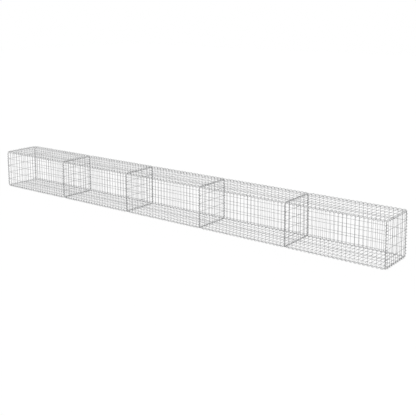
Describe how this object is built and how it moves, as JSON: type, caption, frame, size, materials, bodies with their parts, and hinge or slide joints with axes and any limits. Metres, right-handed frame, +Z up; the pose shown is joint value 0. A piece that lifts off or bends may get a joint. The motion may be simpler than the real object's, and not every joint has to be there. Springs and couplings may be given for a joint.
{
  "type": "gabion wall",
  "caption": "Long empty gabion wall of galvanised welded wire mesh: box bays in a row with floor, dividers and hinged lids, to be filled with stones.",
  "frame": {"origin": "on the underside of the floor mesh, under the centre of the row of bays", "axes": "+X along the row of bays, +Y towards the hinged edge of the lids, +Z up"},
  "size_m": [6.0072, 0.5193, 0.5171],
  "materials": {
    "galvanised_mesh": "hot-dip galvanised, dull grey zinc"
  },
  "bodies": {
    "basket": {"back_panel_1": "galvanised_mesh", "back_panel_2": "galvanised_mesh", "back_panel_3": "galvanised_mesh", "back_panel_4": "galvanised_mesh", "back_panel_5": "galvanised_mesh", "divider_1": "galvanised_mesh", "divider_2": "galvanised_mesh", "divider_3": "galvanised_mesh", "divider_4": "galvanised_mesh", "floor_panel_1": "galvanised_mesh", "floor_panel_2": "galvanised_mesh", "floor_panel_3": "galvanised_mesh", "floor_panel_4": "galvanised_mesh", "floor_panel_5": "galvanised_mesh", "front_panel_1": "galvanised_mesh", "front_panel_2": "galvanised_mesh", "front_panel_3": "galvanised_mesh", "front_panel_4": "galvanised_mesh", "front_panel_5": "galvanised_mesh", "left_end_panel": "galvanised_mesh", "right_end_panel": "galvanised_mesh"},
    "lid_1": {"lid_1": "galvanised_mesh", "hinge_spiral_1": "galvanised_mesh"},
    "lid_2": {"lid_2": "galvanised_mesh", "hinge_spiral_2": "galvanised_mesh"},
    "lid_3": {"lid_3": "galvanised_mesh", "hinge_spiral_3": "galvanised_mesh"},
    "lid_4": {"lid_4": "galvanised_mesh", "hinge_spiral_4": "galvanised_mesh"},
    "lid_5": {"lid_5": "galvanised_mesh", "hinge_spiral_5": "galvanised_mesh"}
  },
  "joints": [
    {"name": "lid_1_hinge", "type": "hinge", "parent": "basket", "child": "lid_1", "pos_m": [-2.4, 0.2525, 0.5025], "axis": [-1, 0, 0], "range_deg": [0, 180]},
    {"name": "lid_2_hinge", "type": "hinge", "parent": "basket", "child": "lid_2", "pos_m": [-1.2, 0.2525, 0.5025], "axis": [-1, 0, 0], "range_deg": [0, 180]},
    {"name": "lid_3_hinge", "type": "hinge", "parent": "basket", "child": "lid_3", "pos_m": [0, 0.2525, 0.5025], "axis": [-1, 0, 0], "range_deg": [0, 180]},
    {"name": "lid_4_hinge", "type": "hinge", "parent": "basket", "child": "lid_4", "pos_m": [1.2, 0.2525, 0.5025], "axis": [-1, 0, 0], "range_deg": [0, 180]},
    {"name": "lid_5_hinge", "type": "hinge", "parent": "basket", "child": "lid_5", "pos_m": [2.4, 0.2525, 0.5025], "axis": [-1, 0, 0], "range_deg": [0, 180]}
  ]
}
